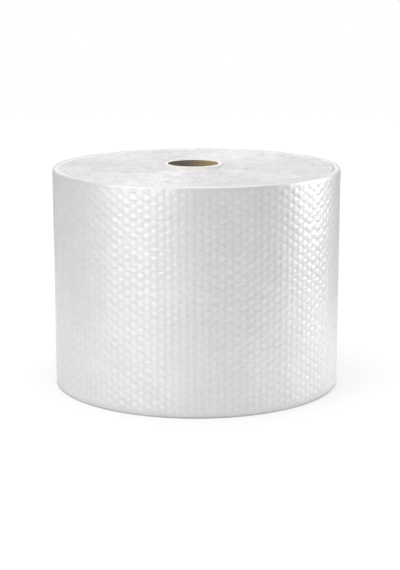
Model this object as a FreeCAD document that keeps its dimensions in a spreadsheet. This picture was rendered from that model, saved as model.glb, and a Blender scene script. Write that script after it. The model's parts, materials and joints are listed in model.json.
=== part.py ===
import FreeCAD, Part
import Sketcher
import math
import os

# A roll of bubble wrap that stands on its end: a cardboard core tube, and one
# long bubble web wound round it from the core to a free tail at the back.
# +Z runs up the core, the photographed front faces -Y, lengths are in mm.

SIZES = [
    ("web_width", 305.0, "width of the web, so the height of the wound roll"),
    ("roll_diameter", 399.5, "outer diameter over the bubbles, side to side"),
    ("web_pitch", 4.76, "how far the radius grows with each turn"),
    ("turn_flats", 30, "flats that each turn is drawn with at the ends"),
    ("edge_relief", 1.5, "how far the web's edge sinks from crest to seam"),
    ("crest_share", 0.5, "how far the crest lies from one seam to the next"),
    ("column_pitch", 9.7, "distance between two bubble columns of the web"),
    ("bubble_bulge", 1.0, "how far the outer film bulges over a column"),
    ("start_land", 1.2, "least width of the flat ring round the core"),
    ("core_bore", 70.0, "inner diameter of the core tube"),
    ("core_wall", 4.0, "wall of the core tube"),
    ("core_overhang", 3.0, "how far the core stands out of the wrap at the top"),
    ("core_clearance", 0.3, "free space between the core and the first turn"),
    ("core_off_centre", 4.5, "how far the core sits left of the roll's middle"),
]

TAIL_DIRECTION = math.radians(90.0)

doc = FreeCAD.newDocument("bubble_wrap_roll")


def make_sheet():
    """Keep every driving size in one spreadsheet, one alias a row."""
    sheet = doc.addObject("Spreadsheet::Sheet", "sizes")
    for row, (alias, value, meaning) in enumerate(SIZES, start=1):
        sheet.set(f"A{row}", alias)
        sheet.set(f"B{row}", str(value))
        sheet.set(f"C{row}", meaning)
        sheet.setAlias(f"B{row}", alias)
    doc.recompute()
    return sheet


class Winding:
    """The spiral seam between one turn of the web and the next.

    The seam is a chain of flats, counted from its start near the core. It
    comes out at the foot of the tail, and one more turn reaches the tail's
    edge. To either side of the seam lie the crests of the web's edge. Flats
    that face the same way are parallel in all turns, which keeps each face
    between a seam and a crest plane.
    """

    def __init__(self, sizes):
        self.height = sizes.web_width
        self.pitch = sizes.web_pitch
        self.flats = int(sizes.turn_flats)
        self.relief = sizes.edge_relief
        self.crest_share = sizes.crest_share
        self.crown_share = sizes.bubble_bulge / self.pitch
        self.bore = sizes.core_bore / 2 + sizes.core_wall + sizes.core_clearance
        # The tail stands half a pitch out of the mean outline.
        over_bubbles = sizes.roll_diameter / 2 + self.pitch / 2
        tail_radius = over_bubbles - sizes.bubble_bulge
        foot_radius = tail_radius - self.pitch
        least_radius = self.bore + sizes.start_land
        least_radius += self.pitch * (1 - self.crest_share)
        least_radius += sizes.core_off_centre / self.flats
        turns = (foot_radius - least_radius) / self.pitch
        self.foot = int(turns * self.flats)
        self.tail = self.foot + self.flats
        self.start_radius = foot_radius - self.pitch * self.foot / self.flats
        around = math.pi * sizes.roll_diameter
        self.columns = max(3, round(around / sizes.column_pitch))
        self.core_centre = FreeCAD.Vector(-sizes.core_off_centre, 0, 0)
        # The tail makes one side of the outline larger, so a quarter of a
        # pitch brings the middle of the outline back onto the Z axis.
        self.roll_centre = FreeCAD.Vector(-self.pitch / 4, -self.pitch / 4, 0)

    def line(self, flat, outward):
        """The way that a flat faces, and how far from the Z axis it lies."""
        middle = flat + 0.5
        angle = TAIL_DIRECTION + 2 * math.pi * (middle - self.tail) / self.flats
        facing = FreeCAD.Vector(math.cos(angle), math.sin(angle), 0)
        turn = middle / self.flats + outward
        radius = self.start_radius + self.pitch * turn
        # Turns drift from the core's axis to the middle of the roll.
        drift = turn * self.flats / self.tail
        centre = self.core_centre + (self.roll_centre - self.core_centre) * drift
        apothem = radius * math.cos(math.pi / self.flats)
        return facing, apothem + centre.dot(facing)

    def corner(self, flat, outward, z):
        """Where a flat of the seam, set that many turns outward, meets the
        one before it."""
        before, before_distance = self.line(flat - 1, outward)
        after, after_distance = self.line(flat, outward)
        sine = before.x * after.y - before.y * after.x
        x = before_distance * after.y - after_distance * before.y
        y = after_distance * before.x - before_distance * after.x
        return FreeCAD.Vector(x / sine, y / sine, z)

    def seam(self, flat, z):
        return self.corner(flat, 0.0, z)

    def inner_crest(self, flat, z):
        return self.corner(flat, self.crest_share - 1, z)

    def outer_crest(self, flat, z):
        return self.corner(flat, self.crest_share, z)

    def crown(self, flat, z):
        """The top of a bubble column on the bare turn."""
        return self.corner(flat, self.crown_share, z)

    def ends(self):
        """Height of the seam and of the crests at the two ends of the roll."""
        return (
            (self.relief, 0.0),
            (self.height - self.relief, self.height),
        )


def plane_face(points):
    return Part.Face(Part.makePolygon(points + points[:1]))


def chain(points):
    return [
        Part.LineSegment(a, b).toShape() for a, b in zip(points, points[1:])
    ]


def groove_faces(winding, seam_z, crest_z):
    """The two slopes that fall to the seam, and the wall where it starts."""
    corners = range(winding.foot + 1)
    inner = [winding.inner_crest(flat, crest_z) for flat in corners]
    seam = [winding.seam(flat, seam_z) for flat in corners]
    outer = [winding.outer_crest(flat, crest_z) for flat in corners]
    faces = [plane_face([inner[0], seam[0], outer[0]])]
    for low, high in ((inner, seam), (seam, outer)):
        for flat in range(winding.foot):
            after = flat + 1
            faces.append(
                plane_face([low[flat], low[after], high[after], high[flat]])
            )
    return faces


def column_edges(winding, z):
    """The bare outer turn: a flat strip at the tail, then an arc a column."""
    share = winding.flats / winding.columns
    first = winding.seam(winding.foot, z)
    second = winding.seam(winding.foot + share, z)
    edges = chain([first, second])
    for column in range(1, winding.columns):
        begin = winding.foot + column * share
        arc = Part.Arc(
            winding.seam(begin, z),
            winding.crown(begin + share / 2, z),
            winding.seam(begin + share, z),
        )
        edges.append(arc.toShape())
    return edges


def outer_land(winding, z):
    """The flat end of the outer turn, from the last crest to the columns."""
    last_turn = range(winding.foot, winding.tail + 1)
    crest = [winding.inner_crest(flat, z) for flat in last_turn]
    tail = winding.seam(winding.tail, z)
    foot = winding.seam(winding.foot, z)
    edges = column_edges(winding, z) + chain([tail] + crest[::-1] + [foot])
    return Part.Face(Part.Wire(edges))


def bore_circle(winding, z):
    centre = winding.core_centre + FreeCAD.Vector(0, 0, z)
    return Part.Circle(centre, FreeCAD.Vector(0, 0, 1), winding.bore).toShape()


def inner_land(winding, z):
    """The flat ring between the core and the first crest."""
    first_turn = range(winding.flats + 1)
    crest = [winding.inner_crest(flat, z) for flat in first_turn]
    rim = Part.Wire(chain(crest + crest[:1]))
    hole = Part.Wire([bore_circle(winding, z)])
    return Part.makeFace([rim, hole], "Part::FaceMakerCheese")


def tail_faces(winding):
    """The web's cut edge, and the step that it makes at both ends."""
    foot, tail, height = winding.foot, winding.tail, winding.height
    (low_seam, _), (high_seam, _) = winding.ends()
    cut = plane_face([
        winding.seam(foot, low_seam),
        winding.seam(foot, high_seam),
        winding.outer_crest(foot, height),
        winding.seam(tail, height),
        winding.seam(tail, 0.0),
        winding.outer_crest(foot, 0.0),
    ])
    steps = [
        plane_face([
            winding.inner_crest(foot, crest_z),
            winding.seam(foot, seam_z),
            winding.seam(foot, crest_z),
        ])
        for seam_z, crest_z in winding.ends()
    ]
    return [cut] + steps


def wall_faces(winding):
    """The outside over the columns, and the seat on the core."""
    height = winding.height
    up = FreeCAD.Vector(0, 0, height)
    (low_seam, _), (high_seam, _) = winding.ends()
    strip, *columns = column_edges(winding, 0.0)
    near, far = (vertex.Point for vertex in strip.Vertexes)
    levels = (height, high_seam, low_seam, 0.0)
    near_side = [FreeCAD.Vector(near.x, near.y, z) for z in levels]
    faces = [plane_face(near_side + [far, far + up])]
    faces += [column.extrude(up) for column in columns]
    return faces + [bore_circle(winding, 0.0).extrude(up)]


def wound_solid(winding):
    faces = tail_faces(winding) + wall_faces(winding)
    for seam_z, crest_z in winding.ends():
        faces += groove_faces(winding, seam_z, crest_z)
        faces += [outer_land(winding, crest_z), inner_land(winding, crest_z)]
    skin = Part.makeCompound(faces)
    skin.sewShape()
    if len(skin.Shells) != 1 or not skin.Shells[0].isClosed():
        raise RuntimeError("the wound web does not close")
    solid = Part.Solid(skin.Shells[0])
    if solid.Volume < 0:
        solid.reverse()
    return solid


def make_bubble_wrap(sheet):
    """All turns are one solid with the seam sunk into both of its ends."""
    wrap = doc.addObject("Part::Feature", "bubble_wrap")
    wrap.Shape = wound_solid(Winding(sheet))
    return wrap


def make_core_tube(sheet):
    """The paperboard tube, a ring padded past the web's upper edge."""
    body = doc.addObject("PartDesign::Body", "core_tube")
    body.setExpression("Placement.Base.x", "-sizes.core_off_centre")
    section = doc.addObject("Sketcher::SketchObject", "core_section")
    body.addObject(section)
    ground = [f for f in body.Origin.OriginFeatures if f.Role == "XY_Plane"]
    section.AttachmentSupport = [(ground[0], "")]
    section.MapMode = "FlatFace"
    outside = "sizes.core_bore + 2 * sizes.core_wall"
    rings = {"bore": "sizes.core_bore", "outside": outside}
    up = FreeCAD.Vector(0, 0, 1)
    for name, size in rings.items():
        diameter = sheet.core_bore
        if name == "outside":
            diameter += 2 * sheet.core_wall
        circle = Part.Circle(FreeCAD.Vector(0, 0, 0), up, diameter / 2)
        ring = section.addGeometry(circle, False)
        section.addConstraint(Sketcher.Constraint("Coincident", ring, 3, -1, 1))
        number = section.addConstraint(
            Sketcher.Constraint("Diameter", ring, diameter)
        )
        section.renameConstraint(number, name)
        section.setExpression(f"Constraints.{name}", size)
    pad = doc.addObject("PartDesign::Pad", "core_wall_pad")
    body.addObject(pad)
    pad.Profile = section
    pad.setExpression("Length", "sizes.web_width + sizes.core_overhang")
    body.Tip = pad
    return body


def check_document():
    for item in doc.Objects:
        bad = [state for state in item.State if state in ("Invalid", "Error")]
        if bad:
            raise RuntimeError(f"{item.Name} is {bad}")


def export(pieces):
    os.makedirs("parts", exist_ok=True)
    for piece in pieces:
        shape = piece.Shape
        if not shape.isValid() or len(shape.Solids) != 1:
            raise RuntimeError(f"{piece.Label} is not one valid solid")
        shape.exportStep(f"parts/{piece.Label}.step")
        size = shape.BoundBox
        print(
            piece.Label,
            f"{size.XLength:.2f} x {size.YLength:.2f} x {size.ZLength:.2f} mm,",
            f"{shape.Volume / 1000:.1f} cm3, {len(shape.Faces)} faces",
        )


sizes = make_sheet()
core_tube = make_core_tube(sizes)
bubble_wrap = make_bubble_wrap(sizes)
doc.recompute()
check_document()
export([core_tube, bubble_wrap])
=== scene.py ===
import json
import math

import bmesh
import bpy
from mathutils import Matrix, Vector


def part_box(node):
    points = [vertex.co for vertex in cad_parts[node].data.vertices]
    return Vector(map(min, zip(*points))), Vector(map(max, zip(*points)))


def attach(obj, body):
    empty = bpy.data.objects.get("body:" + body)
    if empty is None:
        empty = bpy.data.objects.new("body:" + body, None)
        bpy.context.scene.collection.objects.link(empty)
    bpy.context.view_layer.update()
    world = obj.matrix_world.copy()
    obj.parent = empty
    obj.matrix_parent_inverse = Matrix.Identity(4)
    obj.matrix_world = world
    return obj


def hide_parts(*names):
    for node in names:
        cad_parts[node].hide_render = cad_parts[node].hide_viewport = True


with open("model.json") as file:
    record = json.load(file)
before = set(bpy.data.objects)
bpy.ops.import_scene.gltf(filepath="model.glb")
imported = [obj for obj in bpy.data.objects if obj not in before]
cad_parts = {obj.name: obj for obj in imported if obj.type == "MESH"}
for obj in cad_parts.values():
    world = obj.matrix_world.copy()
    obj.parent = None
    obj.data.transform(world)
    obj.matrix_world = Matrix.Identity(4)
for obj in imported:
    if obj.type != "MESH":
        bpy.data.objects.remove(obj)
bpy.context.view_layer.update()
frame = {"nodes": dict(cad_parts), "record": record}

bl_info = {
    "name": "Bubble Wrap Roll",
    "version": (1, 0, 0),
    "blender": (4, 5, 0),
    "location": "View3D > Sidebar > Bubble Roll",
    "description": "Dresses a standing roll of bubble wrap with its films, bubbles and wound edges",
    "category": "Object",
}

# Everything is in metres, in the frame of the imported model: +Z up the core,
# the photographed front faces -Y, and the web's free tail is at +Y.
WRAP_LOW, WRAP_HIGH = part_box("bubble_wrap")
CORE_LOW, CORE_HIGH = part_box("core_tube")
CORE_CENTRE = ((CORE_LOW[0] + CORE_HIGH[0]) / 2, (CORE_LOW[1] + CORE_HIGH[1]) / 2)
CORE_RADIUS = (CORE_HIGH[0] - CORE_LOW[0]) / 2
BORE_RADIUS = frame["record"]["mounts"][0]["dims"]["r_mm"] / 1000
ROLL_RADIUS = (WRAP_HIGH[0] - WRAP_LOW[0]) / 2
TAIL_ANGLE = math.radians(90)

PHOTO_HEIGHT = 570
SENSOR = 0.036


class RollSizes(bpy.types.PropertyGroup):
    web_width: bpy.props.FloatProperty(
        name="Web width", description="Height of the standing roll",
        default=WRAP_HIGH[2], unit="LENGTH")
    roll_radius: bpy.props.FloatProperty(
        name="Roll radius", description="Mean radius over the bubbles",
        default=ROLL_RADIUS, unit="LENGTH")
    turn_growth: bpy.props.FloatProperty(
        name="Growth", description="Radius that two turns of the web add",
        default=0.00476, precision=5, unit="LENGTH")
    column_pitch: bpy.props.FloatProperty(
        name="Column pitch", description="Distance between bubble columns round the roll",
        default=0.0097, precision=5, unit="LENGTH")
    row_pitch: bpy.props.FloatProperty(
        name="Row pitch", description="Distance between the bubbles of one column",
        default=0.01196, precision=5, unit="LENGTH")
    bubble_radius: bpy.props.FloatProperty(
        name="Bubble radius", description="Radius of one bubble at the film",
        default=0.0048, precision=5, unit="LENGTH")
    bubble_bulge: bpy.props.FloatProperty(
        name="Bubble bulge", description="How far the outer film stands over a bubble",
        default=0.00032, precision=5, unit="LENGTH")
    covered_depth: bpy.props.FloatProperty(
        name="Covered depth", description="How far the turn beneath lies inside the outer film",
        default=0.0015, precision=5, unit="LENGTH")
    edge_margin: bpy.props.FloatProperty(
        name="Edge margin", description="Flat film between the web's edge and its first bubbles",
        default=0.0085, precision=5, unit="LENGTH")
    lip_radius: bpy.props.FloatProperty(
        name="Lip radius", description="Rounding of the soft web edge at the upper rim",
        default=0.0024, precision=5, unit="LENGTH")
    foot_lip_radius: bpy.props.FloatProperty(
        name="Foot lip radius", description="Rounding of the web edge on the floor",
        default=0.002, precision=5, unit="LENGTH")
    edge_depth: bpy.props.FloatProperty(
        name="Edge depth", description="How deep the gaps between the turns are seen",
        default=0.0018, precision=5, unit="LENGTH")
    film_edge: bpy.props.FloatProperty(
        name="Film edge", description="Thickness of one drawn film edge",
        default=0.00035, precision=5, unit="LENGTH")
    seed: bpy.props.IntProperty(
        name="Seed", description="Seed of the uneven bubbles and edges", default=7)


class RollColours(bpy.types.PropertyGroup):
    outer_film: bpy.props.FloatVectorProperty(
        name="Outer film", description="Colour of the clear outer film",
        default=(0.888, 0.876, 0.896), subtype="COLOR", size=3)
    covered_film: bpy.props.FloatVectorProperty(
        name="Covered film", description="Milky colour of the films underneath",
        default=(0.85, 0.842, 0.858), subtype="COLOR", size=3)
    edge_film: bpy.props.FloatVectorProperty(
        name="Film edges", description="Colour of the wound edges",
        default=(0.94, 0.925, 0.94), subtype="COLOR", size=3)
    board: bpy.props.FloatVectorProperty(
        name="Board", description="Tan paperboard inside the core tube",
        default=(0.56, 0.41, 0.23), subtype="COLOR", size=3)
    # Painted shade: the darker colour the inside of the tube takes on its shaded -x side; board is
    # its lit +x side.
    board_painted_shade: bpy.props.FloatVectorProperty(
        name="Board stain", description="Greyer, darker plies of the core tube",
        default=(0.215, 0.18, 0.15), subtype="COLOR", size=3)
    board_edge: bpy.props.FloatVectorProperty(
        name="Board edge", description="Pale rim and outer ply of the core tube",
        default=(0.93, 0.905, 0.87), subtype="COLOR", size=3)
    floor: bpy.props.FloatVectorProperty(
        name="Floor", description="Pale studio floor",
        default=(0.8, 0.8, 0.8), subtype="COLOR", size=3)


class Field:
    """A node socket that takes part in plain arithmetic."""

    def __init__(self, nodes, socket):
        self.nodes = nodes
        self.socket = socket

    def math(self, operation, *others):
        values = dict(enumerate((self,) + others))
        return self.nodes.field("ShaderNodeMath", {"operation": operation}, values)

    def __add__(self, other):
        return self.math("ADD", other)

    def __sub__(self, other):
        return self.math("SUBTRACT", other)

    def __mul__(self, other):
        return self.math("MULTIPLY", other)

    def __truediv__(self, other):
        return self.math("DIVIDE", other)

    def __mod__(self, other):
        return self.math("FLOORED_MODULO", other)

    def __gt__(self, other):
        return self.math("GREATER_THAN", other)

    def __lt__(self, other):
        return self.math("LESS_THAN", other)

    def __neg__(self):
        return self.math("MULTIPLY", -1.0)

    def __abs__(self):
        return self.math("ABSOLUTE")

    def __rsub__(self, other):
        return (-self) + other

    def __rtruediv__(self, other):
        return self.math("POWER", -1.0) * other

    __radd__ = __add__
    __rmul__ = __mul__

    def sin(self):
        return self.math("SINE")

    def cos(self):
        return self.math("COSINE")

    def sqrt(self):
        return self.math("SQRT")

    def floor(self):
        return self.math("FLOOR")

    def round(self):
        return self.math("ROUND")

    def at_least(self, other):
        return self.math("MAXIMUM", other)

    def at_most(self, other):
        return self.math("MINIMUM", other)


class Nodes:
    """Adds nodes to one tree, of a material, a world or a geometry group."""

    def __init__(self, tree):
        self.tree = tree

    def plug(self, socket, value):
        if isinstance(value, Field):
            value = value.socket
        if isinstance(value, bpy.types.NodeSocket):
            self.tree.links.new(value, socket)
        else:
            socket.default_value = value

    def add(self, kind, settings=None, values=None):
        node = self.tree.nodes.new(kind)
        for name, value in (settings or {}).items():
            setattr(node, name, value)
        for key, value in (values or {}).items():
            self.plug(node.inputs[key], value)
        return node

    def field(self, kind, settings=None, values=None, output=0):
        node = self.add(kind, settings, values)
        return Field(self, node.outputs[output])

    def xyz(self, x, y, z):
        return self.field("ShaderNodeCombineXYZ", values={0: x, 1: y, 2: z})

    def split(self, vector):
        node = self.add("ShaderNodeSeparateXYZ", values={0: vector})
        return [Field(self, out) for out in node.outputs]

    def stretch(self, vector, factors):
        """The place scaled by its own factor on each axis, to draw out a noise."""
        return self.field(
            "ShaderNodeVectorMath", {"operation": "MULTIPLY"}, {0: vector, 1: factors})

    def noise(self, vector, scale, detail=2.0):
        return self.field("ShaderNodeTexNoise", values={
            "Vector": vector, "Scale": scale, "Detail": detail})

    def blend(self, amount, first, second):
        """Mix two colours."""
        node = self.add("ShaderNodeMix", {"data_type": "RGBA"})
        self.plug(node.inputs[0], amount)
        for socket, value in ((node.inputs[6], first), (node.inputs[7], second)):
            self.plug(socket, (*value, 1.0) if isinstance(value, tuple) else value)
        return Field(self, node.outputs[2])

    def ramp(self, value, low, high):
        """0 below low, 1 above high, smooth between them."""
        return self.field("ShaderNodeMapRange", {"interpolation_type": "SMOOTHSTEP"}, {
            "Value": value, "From Min": low, "From Max": high})


def geometry_group(name, inputs):
    """A geometry tree with named inputs, given as {name: (socket type, value)}."""
    tree = bpy.data.node_groups.new(name, "GeometryNodeTree")
    for label, (kind, _) in inputs.items():
        tree.interface.new_socket(label, in_out="INPUT", socket_type=kind)
    tree.interface.new_socket("Mesh", in_out="OUTPUT", socket_type="NodeSocketGeometry")
    nodes = Nodes(tree)
    entry = nodes.add("NodeGroupInput")
    fields = {label: Field(nodes, entry.outputs[label]) for label in inputs}
    return tree, nodes, fields


def grow(name, tree, inputs):
    """Run a geometry tree on an empty mesh and keep the result as a plain mesh."""
    piece = bpy.data.objects.new(name, bpy.data.meshes.new(name))
    bpy.context.scene.collection.objects.link(piece)
    modifier = piece.modifiers.new(name, "NODES")
    modifier.node_group = tree
    for item in tree.interface.items_tree:
        if item.in_out == "INPUT":
            modifier[item.identifier] = inputs[item.name][1]
    graph = bpy.context.evaluated_depsgraph_get()
    mesh = bpy.data.meshes.new_from_object(piece.evaluated_get(graph))
    piece.modifiers.clear()
    piece.data = mesh
    mesh.name = name
    bpy.data.node_groups.remove(tree)
    return piece


def dress(piece, node):
    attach(piece, "root")
    if node:
        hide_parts(node)


def new_material(name):
    material = bpy.data.materials.new(name)
    material.use_nodes = True
    nodes = Nodes(material.node_tree)
    shader = material.node_tree.nodes["Principled BSDF"]
    return material, nodes, shader


def bubble_lattice(column, row):
    """1 over each bubble of a staggered pattern, -1 half way to the next."""
    return (column * math.pi).cos() * (row * (2 * math.pi)).cos()


def film_material(name, colour, alpha, haze, coat=0.0, grain=22.0, ghosts=None):
    """Polyethylene film: pale, with a faint uneven haze.

    The many films under the first one reflect as well, which gives the wide
    soft sheen; the coat is the sharper gloss of the first film alone. Ghosts
    are the bubbles of deeper turns, which shimmer through out of step, with
    the slow waves of the film. They fade at the clear edges of the web, where
    the colour also goes darker as painted shade over the brightly lit rim, and
    the rolled rim is duller than the rest.
    """
    material, nodes, shader = new_material(name)
    place = nodes.field("ShaderNodeTexCoord", output=3)
    cloud = nodes.noise(place, grain, 3.0)
    streak = nodes.noise(nodes.stretch(place, (60.0, 60.0, 9.0)), 1.0, 2.0)
    fine = nodes.noise(nodes.stretch(place, (520.0, 520.0, 90.0)), 1.0, 1.0)
    tone = nodes.ramp(cloud * 0.6 + streak * 0.4, 0.3, 0.7)
    rim = 0.0
    if ghosts:
        x, y, z = nodes.split(place)
        column = y.math("ARCTAN2", x) * (ghosts.roll_radius / ghosts.column_pitch)
        row = z / ghosts.row_pitch
        near = bubble_lattice(column * 1.04 + cloud * 1.5, row + 0.3 + streak * 0.8)
        deep = bubble_lattice(column * 2.09 + 0.6, row * 2.0 + column * 0.02 + cloud)
        stripe = (column * (2 * math.pi)).cos()
        wave = nodes.noise(nodes.stretch(place, (24.0, 24.0, 190.0)), 1.0, 1.0)
        tone = tone * 0.4 + near * 0.25 + deep * 0.15 + stripe * 0.2 + wave * 0.9 - 0.2
        tone = tone.at_least(0.0).at_most(1.0)
        half_width = ghosts.web_width / 2
        off_middle = abs(z - half_width)
        # Painted shade: towards both edges of the web the tone drops to the darker end of the base
        # colour, dimming the brightly lit rolled rim; the ghosts fade there too.
        shaded_clear_edge = nodes.ramp(off_middle, half_width - 0.010, half_width - 0.003)
        tone = tone * (1 - shaded_clear_edge)
        rim = nodes.ramp(off_middle, half_width - 0.004, half_width - 0.001)
        fine = fine + near * 0.6 + deep * 0.2 + wave * 7.0
    dark = tuple(part * (1 - haze) for part in colour)
    nodes.plug(shader.inputs["Base Color"], nodes.blend(tone, dark, tuple(colour)))
    nodes.plug(shader.inputs["Roughness"], streak * 0.12 + rim * 0.25 + 0.34)
    bump = nodes.field("ShaderNodeBump", values={
        "Strength": 0.14, "Distance": 0.0006, "Height": fine})
    nodes.plug(shader.inputs["Normal"], bump)
    shader.inputs["Metallic"].default_value = 0.3
    nodes.plug(shader.inputs["Coat Weight"], (1 - rim) * coat)
    shader.inputs["Coat Roughness"].default_value = 0.15
    shader.inputs["Alpha"].default_value = alpha
    return material


def board_material(colours):
    """Spiral-wound paperboard, pale at the rim: inside, grey-brown painted shade on the -x side
    turns to tan as painted light on the +x side.
    """
    material, nodes, shader = new_material("core_board")
    x, y, z = nodes.split(nodes.field("ShaderNodeTexCoord", output=3))
    x = x - CORE_CENTRE[0]
    y = y - CORE_CENTRE[1]
    radius = (x * x + y * y).sqrt()
    turn = y.math("ARCTAN2", x) / (2 * math.pi)
    ply_lead = 0.12
    seam = abs((turn - z / ply_lead) % 1.0 - 0.5)
    seam_line = 1 - nodes.ramp(seam, 0.002, 0.006)
    fibre = nodes.noise(nodes.xyz(turn * 90.0, z * 60.0, radius * 400.0), 1.0, 4.0)
    ply_tone = nodes.noise(nodes.xyz(x, y, z * 3.0), 18.0, 2.0)
    # Painted light and shade: across x the inside goes from the painted-shade colour to the lit
    # tan, the boundary broken up by fibre and ply noise.
    tan = nodes.ramp(x + (fibre * 0.6 + ply_tone * 0.4 - 0.5) * 0.04, -0.018, 0.036)
    inside = nodes.blend(tan, tuple(colours.board_painted_shade), tuple(colours.board))
    seam_shade = tuple(part * 0.6 for part in colours.board_painted_shade)
    inside = nodes.blend(seam_line * 0.5, inside, seam_shade)
    outside = nodes.ramp(radius, BORE_RADIUS + 0.0004, BORE_RADIUS + 0.0012)
    pale_shade = tuple(part * 0.9 for part in colours.board_edge)
    pale = nodes.blend(fibre, pale_shade, tuple(colours.board_edge))
    nodes.plug(shader.inputs["Base Color"], nodes.blend(outside, inside, pale))
    nodes.plug(shader.inputs["Roughness"], fibre * 0.15 + 0.75)
    bump = nodes.field("ShaderNodeBump", values={
        "Strength": 0.4, "Distance": 0.0004, "Height": fibre - seam_line})
    nodes.plug(shader.inputs["Normal"], bump)
    return material


def bubble_shell(name, radius, height, rings, segments):
    """One shallow bubble, its foot at z = 0 and its crown at z = height."""
    mesh = bpy.data.meshes.new(name)
    shell = bmesh.new()
    loops = []
    for share, level in rings:
        loop = []
        for step in range(segments):
            angle = 2 * math.pi * step / segments
            loop.append(shell.verts.new((
                radius * share * math.cos(angle),
                radius * share * math.sin(angle),
                height * level)))
        loops.append(loop)
    crown = shell.verts.new((0, 0, height))
    for lower, upper in zip(loops, loops[1:]):
        for step in range(segments):
            after = (step + 1) % segments
            shell.faces.new((lower[step], lower[after], upper[after], upper[step]))
    for step in range(segments):
        after = (step + 1) % segments
        shell.faces.new((loops[-1][step], loops[-1][after], crown))
    for face in shell.faces:
        face.smooth = True
    shell.to_mesh(mesh)
    shell.free()
    return bpy.data.objects.new(name, mesh)


def on_roll(nodes, centre_x, centre_y, angle, radius, height):
    x = angle.cos() * radius + centre_x
    y = angle.sin() * radius + centre_y
    return nodes.xyz(x, y, height)


def wrinkle(nodes, angle, height, amount):
    """Slow waves of the film, round and up the roll."""
    place = nodes.xyz(angle.cos() * 2.2, angle.sin() * 2.2, height * 5.0)
    return (nodes.noise(place, 1.6, 2.0) - 0.5) * amount


def rolled_in(run, flat, lip):
    """Section of a film that runs straight up and then rolls in over a lip.

    Gives the rise, the inset and how far the film goes on behind the lip.
    """
    over = run - flat
    bend = (over / lip).at_least(0.0).at_most(math.pi / 2)
    past = (over - lip * (math.pi / 2)).at_least(0.0)
    rise = run.at_most(flat) + bend.sin() * lip
    return rise, (1 - bend.cos()) * lip, past


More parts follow.
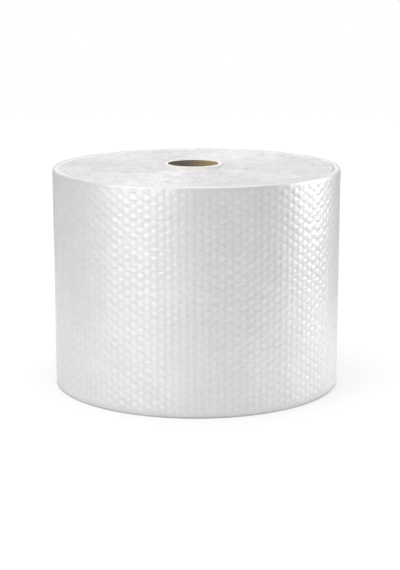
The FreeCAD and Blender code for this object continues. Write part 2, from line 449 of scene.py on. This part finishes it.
def wound_turn(name, sizes, depth, shelf, shell, material, seed):
    """One turn of the web: its film, and its bubbles in staggered columns.

    The film lies that deep under the crowns of the roll. Behind its lips it
    turns down into the roll, or goes on inward as a sloping shelf.
    """
    tail_radius = sizes.roll_radius + sizes.turn_growth / 2 - 0.0003
    around = round(2 * math.pi * tail_radius / sizes.column_pitch / 2) * 2
    rows = int((sizes.web_width - 2 * sizes.edge_margin) / sizes.row_pitch) + 1
    spread = (rows - 1) * sizes.row_pitch
    inputs = {
        "Columns": ("NodeSocketInt", around),
        "Rows": ("NodeSocketInt", rows),
        "Bubble": ("NodeSocketObject", shell),
        "Tail radius": ("NodeSocketFloat", tail_radius - depth),
        "Growth": ("NodeSocketFloat", sizes.turn_growth),
        "Web width": ("NodeSocketFloat", sizes.web_width),
        "First row": ("NodeSocketFloat", (sizes.web_width - spread) / 2 + 0.0015),
        "Row pitch": ("NodeSocketFloat", sizes.row_pitch),
        "Lip": ("NodeSocketFloat", sizes.lip_radius),
        "Foot lip": ("NodeSocketFloat", sizes.foot_lip_radius),
        "Shelf": ("NodeSocketFloat", 1.0 if shelf else 0.0),
        "Shelf width": ("NodeSocketFloat", 0.005 if shelf else 0.003),
        "Shelf depth": ("NodeSocketFloat", 0.0008 if shelf else 0.0),
        "Wrinkle": ("NodeSocketFloat", 0.0012),
        "Seed": ("NodeSocketInt", seed),
        "Material": ("NodeSocketMaterial", material),
    }
    tree, nodes, given = geometry_group(name, inputs)
    middle = -sizes.turn_growth / 4

    def spiral(share, height):
        angle = share * (2 * math.pi) + TAIL_ANGLE
        radius = given["Tail radius"] - given["Growth"] * (1 - share)
        return angle, radius + wrinkle(nodes, angle, height, given["Wrinkle"])

    flat = nodes.add("GeometryNodeMeshGrid", values={
        "Size X": 1.0, "Size Y": 1.0,
        "Vertices X": given["Columns"] * 2 + 2, "Vertices Y": 41})
    across, up, _ = nodes.split(nodes.field("GeometryNodeInputPosition"))
    steps = given["Columns"] * 2
    along = (across + 0.5) * (steps + 1) / steps
    share = along.at_most(1.0)
    fold = along > 1.0005
    upper = up > 0.0
    lip = upper * (given["Lip"] - given["Foot lip"]) + given["Foot lip"]
    straight = given["Web width"] / 2 - given["Shelf depth"] - lip
    section = straight + lip * (math.pi / 2) + given["Shelf width"]
    run = (abs(up) * math.pi).sin() * section
    rise, inset, past = rolled_in(run, straight, lip)
    rise = rise - past * (1 - given["Shelf"] * 0.7)
    height = given["Web width"] / 2 + rise * (upper * 2 - 1)
    angle, radius = spiral(share, height)
    radius = radius - inset - past * given["Shelf"] - fold * given["Growth"]
    film = nodes.field("GeometryNodeSetPosition", values={
        "Geometry": flat.outputs[0],
        "Position": on_roll(nodes, middle, middle, angle, radius, height)})
    film = nodes.field("GeometryNodeSetShadeSmooth", values={0: film})

    line = nodes.field("GeometryNodeMeshLine", values={
        "Count": given["Columns"] * given["Rows"]})
    index = nodes.field("GeometryNodeInputIndex")
    column = (index / given["Rows"] + 0.0001).floor()
    row = index - column * given["Rows"]
    level = (row + (column % 2.0) * 0.5) * given["Row pitch"] + given["First row"]
    share = (column + 0.5) / given["Columns"]
    angle, radius = spiral(share, level)
    points = nodes.field("GeometryNodeSetPosition", values={
        "Geometry": line,
        "Position": on_roll(nodes, middle, middle, angle, radius, level)})
    inside = level < (given["Web width"] - 0.0065)
    size = nodes.add("FunctionNodeRandomValue", {"data_type": "FLOAT"}, {
        2: 0.92, 3: 1.02, "Seed": given["Seed"]})
    press = nodes.add("FunctionNodeRandomValue", {"data_type": "FLOAT"}, {
        2: 0.6, 3: 1.05, "Seed": given["Seed"] + 1})
    size = Field(nodes, size.outputs[1])
    press = Field(nodes, press.outputs[1])
    one = nodes.add("GeometryNodeObjectInfo", values={"Object": given["Bubble"]})
    bubbles = nodes.field("GeometryNodeInstanceOnPoints", values={
        "Points": points, "Selection": inside,
        "Instance": one.outputs["Geometry"],
        "Rotation": nodes.xyz(0.0, math.pi / 2, angle),
        "Scale": nodes.xyz(size, size, press)})
    join = nodes.add("GeometryNodeJoinGeometry")
    nodes.plug(join.inputs[0], film)
    nodes.plug(join.inputs[0], bubbles)
    real = nodes.field("GeometryNodeRealizeInstances", values={0: join.outputs[0]})
    done = nodes.field("GeometryNodeSetMaterial", values={
        "Geometry": real, "Material": given["Material"]})
    nodes.plug(nodes.add("NodeGroupOutput").inputs[0], done)
    piece = grow(name, tree, inputs)
    bpy.data.objects.remove(shell)
    return piece


def wound_edges(name, sizes, upper, material, seed):
    """The cut edges of all turns at one end: a flat film and a wavy bubble film."""
    start = CORE_RADIUS + 0.0008
    end = sizes.roll_radius - sizes.turn_growth / 2 - sizes.lip_radius
    pitch = sizes.turn_growth / 2
    length = math.pi * (end * end - start * start) / pitch
    inputs = {
        "Web length": ("NodeSocketFloat", length),
        "Start radius": ("NodeSocketFloat", start),
        "End radius": ("NodeSocketFloat", end),
        "Turn pitch": ("NodeSocketFloat", pitch),
        "Bubble pitch": ("NodeSocketFloat", sizes.column_pitch),
        "Bubble wave": ("NodeSocketFloat", 0.0011),
        "Film edge": ("NodeSocketFloat", sizes.film_edge),
        "Level": ("NodeSocketFloat", sizes.web_width if upper else 0.0),
        "Side": ("NodeSocketFloat", 1.0 if upper else -1.0),
        "Depth": ("NodeSocketFloat", sizes.edge_depth),
        "Unevenness": ("NodeSocketFloat", 0.0042 if upper else 0.0014),
        "Seed": ("NodeSocketFloat", seed * 1.7),
        "Material": ("NodeSocketMaterial", material),
    }
    tree, nodes, given = geometry_group(name, inputs)
    middle = -sizes.turn_growth / 4

    def ribbon(step, wave, offset):
        count = given["Web length"] / step
        flat = nodes.add("GeometryNodeMeshGrid", values={
            "Size X": 1.0, "Size Y": 1.0, "Vertices X": count, "Vertices Y": 4})
        along, across, _ = nodes.split(nodes.field("GeometryNodeInputPosition"))
        metre = (along + 0.5) * given["Web length"]
        corner = ((across + 0.5) * 3.0).round()
        start_area = given["Start radius"] * given["Start radius"]
        radius = (metre * given["Turn pitch"] / math.pi + start_area).sqrt()
        angle = (radius - given["Start radius"]) / given["Turn pitch"] * (2 * math.pi)
        drift = (radius - given["Start radius"]) / (given["End radius"] - given["Start radius"])
        ripple = (metre / given["Bubble pitch"] * math.pi).sin()
        sway = nodes.noise(nodes.xyz(metre * 14.0, given["Seed"], 0.0), 1.0, 2.0)
        bend = ripple * ripple * wave + (sway - 0.5) * 0.0012 + offset
        outside = 1 - (corner > 1.5)
        radius = radius + bend + outside * given["Film edge"]
        fray = nodes.noise(nodes.xyz(metre * 110.0, given["Seed"], offset * 1000.0), 1.0, 2.0)
        tuft = nodes.noise(
            nodes.xyz(angle.cos() * radius, angle.sin() * radius, given["Seed"]), 90.0, 2.0)
        layer = nodes.noise(
            nodes.xyz(radius * 260.0, angle.cos() * 0.8, angle.sin() * 0.8), 1.0, 2.0)
        low = fray * 0.3 + (tuft * 0.5 + layer * 0.5 - 0.25).at_least(0.0)
        low = (low * given["Unevenness"]).at_most(given["Depth"] - 0.0002)
        edge = (corner > 0.5) * (corner < 2.5)
        inward = edge * low + (1 - edge) * given["Depth"]
        height = given["Level"] - inward * given["Side"]
        centre_x = drift * (middle - CORE_CENTRE[0]) + CORE_CENTRE[0]
        centre_y = drift * (middle - CORE_CENTRE[1]) + CORE_CENTRE[1]
        return nodes.field("GeometryNodeSetPosition", values={
            "Geometry": flat.outputs[0],
            "Position": on_roll(nodes, centre_x, centre_y, angle, radius, height)})

    join = nodes.add("GeometryNodeJoinGeometry")
    nodes.plug(join.inputs[0], ribbon(given["Bubble pitch"] / 4, given["Bubble wave"], 0.0005))
    nodes.plug(join.inputs[0], ribbon(0.0075, 0.0, 0.0))
    whole = join.outputs[0]
    if not upper:
        whole = nodes.field("GeometryNodeFlipFaces", values={0: whole})
    done = nodes.field("GeometryNodeSetMaterial", values={
        "Geometry": whole, "Material": given["Material"]})
    nodes.plug(nodes.add("NodeGroupOutput").inputs[0], done)
    return grow(name, tree, inputs)


def lathe(name, profile, segments, material):
    """A closed ring; its section is a list of (centre, radius, height)."""
    ring = bmesh.new()
    loops = []
    for step in range(segments):
        angle = 2 * math.pi * step / segments
        loops.append([
            ring.verts.new((
                centre[0] + radius * math.cos(angle),
                centre[1] + radius * math.sin(angle),
                height))
            for centre, radius, height in profile])
    for step in range(segments):
        here, there = loops[step], loops[(step + 1) % segments]
        for a in range(len(profile)):
            b = (a + 1) % len(profile)
            ring.faces.new((here[a], there[a], there[b], here[b]))
    bmesh.ops.recalc_face_normals(ring, faces=ring.faces)
    mesh = bpy.data.meshes.new(name)
    ring.to_mesh(mesh)
    ring.free()
    mesh.materials.append(material)
    piece = bpy.data.objects.new(name, mesh)
    bpy.context.scene.collection.objects.link(piece)
    return piece


class BUBBLEROLL_OT_inner_windings(bpy.types.Operator):
    """Build the pressed windings that lie under the two outer turns"""
    bl_idname = "bubbleroll.inner_windings"
    bl_label = "Inner windings"

    def execute(self, context):
        sizes = context.scene.roll_sizes
        colours = context.scene.roll_colours
        film = film_material("pressed_film", colours.covered_film, 1.0, 0.06)
        outer = sizes.roll_radius - 1.5 * sizes.turn_growth - sizes.lip_radius
        inner = CORE_RADIUS + 0.0003
        low = sizes.edge_depth + 0.0002
        high = sizes.web_width - low
        roll_centre = (-sizes.turn_growth / 4, -sizes.turn_growth / 4)
        profile = [
            (CORE_CENTRE, inner, low), (roll_centre, outer, low),
            (roll_centre, outer, high), (CORE_CENTRE, inner, high)]
        piece = lathe("inner_windings", profile, 160, film)
        dress(piece, "bubble_wrap")
        return {"FINISHED"}


class BUBBLEROLL_OT_covered_turn(bpy.types.Operator):
    """Build the turn of bubbles that shows through the outer film"""
    bl_idname = "bubbleroll.covered_turn"
    bl_label = "Covered turn"

    def execute(self, context):
        sizes = context.scene.roll_sizes
        colours = context.scene.roll_colours
        film = film_material("covered_film", colours.covered_film, 1.0, 0.05)
        rings = ((1.0, 0.0), (0.72, 0.7))
        bulge = sizes.covered_depth * 0.7
        shell = bubble_shell("covered_bubble", sizes.bubble_radius, bulge, rings, 8)
        depth = sizes.bubble_bulge + sizes.covered_depth
        piece = wound_turn("covered_turn", sizes, depth, True, shell, film, sizes.seed + 40)
        dress(piece, "bubble_wrap")
        return {"FINISHED"}


class BUBBLEROLL_OT_outer_turn(bpy.types.Operator):
    """Build the clear outer turn with its bubbles and its free tail"""
    bl_idname = "bubbleroll.outer_turn"
    bl_label = "Outer turn"

    def execute(self, context):
        sizes = context.scene.roll_sizes
        colours = context.scene.roll_colours
        film = film_material(
            "outer_film", colours.outer_film, 0.75, 0.11, coat=0.45, ghosts=sizes)
        rings = ((1.0, 0.0), (0.9, 0.48), (0.62, 0.86))
        bulge = sizes.bubble_bulge
        shell = bubble_shell("outer_bubble", sizes.bubble_radius, bulge, rings, 10)
        piece = wound_turn("outer_turn", sizes, bulge, False, shell, film, sizes.seed)
        dress(piece, "bubble_wrap")
        return {"FINISHED"}


class BUBBLEROLL_OT_wound_edges(bpy.types.Operator):
    """Build the wound edges of the web at both ends of the roll"""
    bl_idname = "bubbleroll.wound_edges"
    bl_label = "Wound edges"

    def execute(self, context):
        sizes = context.scene.roll_sizes
        colours = context.scene.roll_colours
        film = film_material("film_edges", colours.edge_film, 1.0, 0.2, grain=200.0)
        for name, upper in (("upper_edges", True), ("lower_edges", False)):
            piece = wound_edges(name, sizes, upper, film, sizes.seed + upper)
            dress(piece, "bubble_wrap")
        return {"FINISHED"}


class BUBBLEROLL_OT_core(bpy.types.Operator):
    """Give the core tube its paperboard"""
    bl_idname = "bubbleroll.core"
    bl_label = "Core tube"

    def execute(self, context):
        board = board_material(context.scene.roll_colours)
        core = frame["nodes"]["core_tube"]
        core.data.materials.clear()
        core.data.materials.append(board)
        return {"FINISHED"}


def area_lamp(name, azimuth, elevation, distance, size, power, gloss_only=False):
    """A softbox at a compass place round the roll, aimed at its middle."""
    data = bpy.data.lights.new(name, "AREA")
    data.shape = "RECTANGLE"
    data.size, data.size_y = size
    data.energy = power
    lamp = bpy.data.objects.new(name, data)
    turn, tilt = math.radians(azimuth), math.radians(elevation)
    lamp.location = (
        distance * math.sin(turn) * math.cos(tilt),
        -distance * math.cos(turn) * math.cos(tilt),
        distance * math.sin(tilt) + WRAP_HIGH[2] / 2)
    lamp.rotation_euler = (math.pi / 2 - tilt, 0, turn)
    lamp.visible_diffuse = not gloss_only
    bpy.context.scene.collection.objects.link(lamp)
    return lamp


class BUBBLEROLL_OT_studio(bpy.types.Operator):
    """Set the floor, the soft light and the camera"""
    bl_idname = "bubbleroll.studio"
    bl_label = "Studio"

    def execute(self, context):
        colours = context.scene.roll_colours
        self.floor(colours)
        self.world()
        self.lamps()
        self.camera()
        context.scene.view_settings.view_transform = "Standard"
        return {"FINISHED"}

    def floor(self, colours):
        material = bpy.data.materials.new("studio_floor")
        material.use_nodes = True
        tree = material.node_tree
        tree.nodes.clear()
        nodes = Nodes(tree)
        paths = nodes.add("ShaderNodeLightPath")
        seen = Field(nodes, paths.outputs["Is Camera Ray"])
        mirrored = Field(nodes, paths.outputs["Is Glossy Ray"])
        x, y, _ = nodes.split(nodes.field("ShaderNodeTexCoord", output=3))
        from_roll = (x * x + y * y).sqrt()
        far = nodes.ramp(from_roll, 0.4, 2.0)
        # Painted contact shadow: the floor's glow drops right round the foot of the roll.
        painted_contact_shadow = 1 - nodes.ramp(from_roll, ROLL_RADIUS - 0.003, ROLL_RADIUS + 0.001)
        # Painted light pools: three soft patches where the floor glows only for glossy rays, so the
        # roll's lower sheen reflects more light than the lamps give.
        painted_light_pools = 0.0
        for middle_x, middle_y, reach, gain in (
                (0.0, 0.0, 1.3, 0.3), (-0.3, -0.45, 0.5, 0.25), (0.46, -0.08, 0.55, 0.6)):
            away_x, away_y = x - middle_x, y - middle_y
            away = (away_x * away_x + away_y * away_y).sqrt()
            painted_light_pools = (1 - nodes.ramp(away, reach * 0.2, reach)) * gain + painted_light_pools
        seen_floor = tuple(part * 0.6 for part in colours.floor)
        pale = nodes.blend(seen, tuple(colours.floor), seen_floor)
        matt = nodes.add("ShaderNodeBsdfDiffuse", values={"Color": pale})
        # The floor's glow for the camera, lowered at the roll's foot as a painted contact shadow,
        # plus painted light pools seen only in reflections.
        strength = seen * (far * 0.15 - painted_contact_shadow * 0.42 + 0.52) + mirrored * painted_light_pools
        glow = nodes.add("ShaderNodeEmission", values={"Strength": strength})
        both = nodes.add("ShaderNodeAddShader", values={0: matt.outputs[0], 1: glow.outputs[0]})
        end = nodes.add("ShaderNodeOutputMaterial", values={0: both.outputs[0]})
        end.is_active_output = True
        half = 6.0
        mesh = bpy.data.meshes.new("studio_floor")
        mesh.from_pydata(
            [(-half, -half, 0), (half, -half, 0), (half, half, 0), (-half, half, 0)],
            [], [(0, 1, 2, 3)])
        mesh.materials.append(material)
        floor = bpy.data.objects.new("studio_floor", mesh)
        bpy.context.scene.collection.objects.link(floor)

    def world(self):
        world = bpy.data.worlds.new("studio")
        bpy.context.scene.world = world
        world.use_nodes = True
        nodes = Nodes(world.node_tree)
        paths = nodes.add("ShaderNodeLightPath")
        seen = Field(nodes, paths.outputs["Is Camera Ray"])
        background = world.node_tree.nodes["Background"]
        nodes.plug(background.inputs["Color"], (1.0, 1.0, 1.0, 1.0))
        nodes.plug(background.inputs["Strength"], seen * 0.34 + 0.66)

    def lamps(self):
        area_lamp("overhead_softbox", 0, 89, 1.8, (1.5, 1.5), 20)
        area_lamp("key_softbox", -46, 24, 2.2, (1.0, 1.0), 9)
        area_lamp("left_gloss", -44, 6, 2.0, (2.0, 1.6), 18, gloss_only=True)
        area_lamp("right_gloss", 98, 6, 2.0, (1.2, 1.6), 32, gloss_only=True)
        area_lamp("back_gloss", 180, 24, 2.0, (2.2, 0.8), 1.5, gloss_only=True)

    def camera(self):
        distance, height = 2.0457, 0.5791
        tilt = math.radians(12.252)
        focal_pixels = 1480.7
        shift_pixels = 3.45
        data = bpy.data.cameras.new("photo_camera")
        data.lens = focal_pixels / PHOTO_HEIGHT * SENSOR * 1000
        data.sensor_width = SENSOR * 1000
        data.shift_x = shift_pixels / PHOTO_HEIGHT
        camera = bpy.data.objects.new("photo_camera", data)
        camera.location = (0, -distance, height)
        camera.rotation_euler = (math.pi / 2 - tilt, 0, 0)
        bpy.context.scene.collection.objects.link(camera)
        bpy.context.scene.camera = camera


class BUBBLEROLL_PT_panel(bpy.types.Panel):
    """Sizes, colours and build steps of the roll"""
    bl_idname = "BUBBLEROLL_PT_panel"
    bl_label = "Bubble Wrap Roll"
    bl_space_type = "VIEW_3D"
    bl_region_type = "UI"
    bl_category = "Bubble Roll"

    def draw(self, context):
        layout = self.layout
        for group in (context.scene.roll_sizes, context.scene.roll_colours):
            for name in group.bl_rna.properties.keys():
                if name not in ("rna_type", "name"):
                    layout.prop(group, name)
        for step in STEPS:
            layout.operator(step.bl_idname)


STEPS = (
    BUBBLEROLL_OT_inner_windings,
    BUBBLEROLL_OT_covered_turn,
    BUBBLEROLL_OT_outer_turn,
    BUBBLEROLL_OT_wound_edges,
    BUBBLEROLL_OT_core,
    BUBBLEROLL_OT_studio,
)
CLASSES = (RollSizes, RollColours, *STEPS, BUBBLEROLL_PT_panel)


def register():
    for item in CLASSES:
        bpy.utils.register_class(item)
    bpy.types.Scene.roll_sizes = bpy.props.PointerProperty(type=RollSizes)
    bpy.types.Scene.roll_colours = bpy.props.PointerProperty(type=RollColours)


def unregister():
    del bpy.types.Scene.roll_colours
    del bpy.types.Scene.roll_sizes
    for item in reversed(CLASSES):
        bpy.utils.unregister_class(item)


def main():
    register()
    for step in STEPS:
        section, action = step.bl_idname.split(".")
        getattr(getattr(bpy.ops, section), action)()


if __name__ == "__main__":
    main()
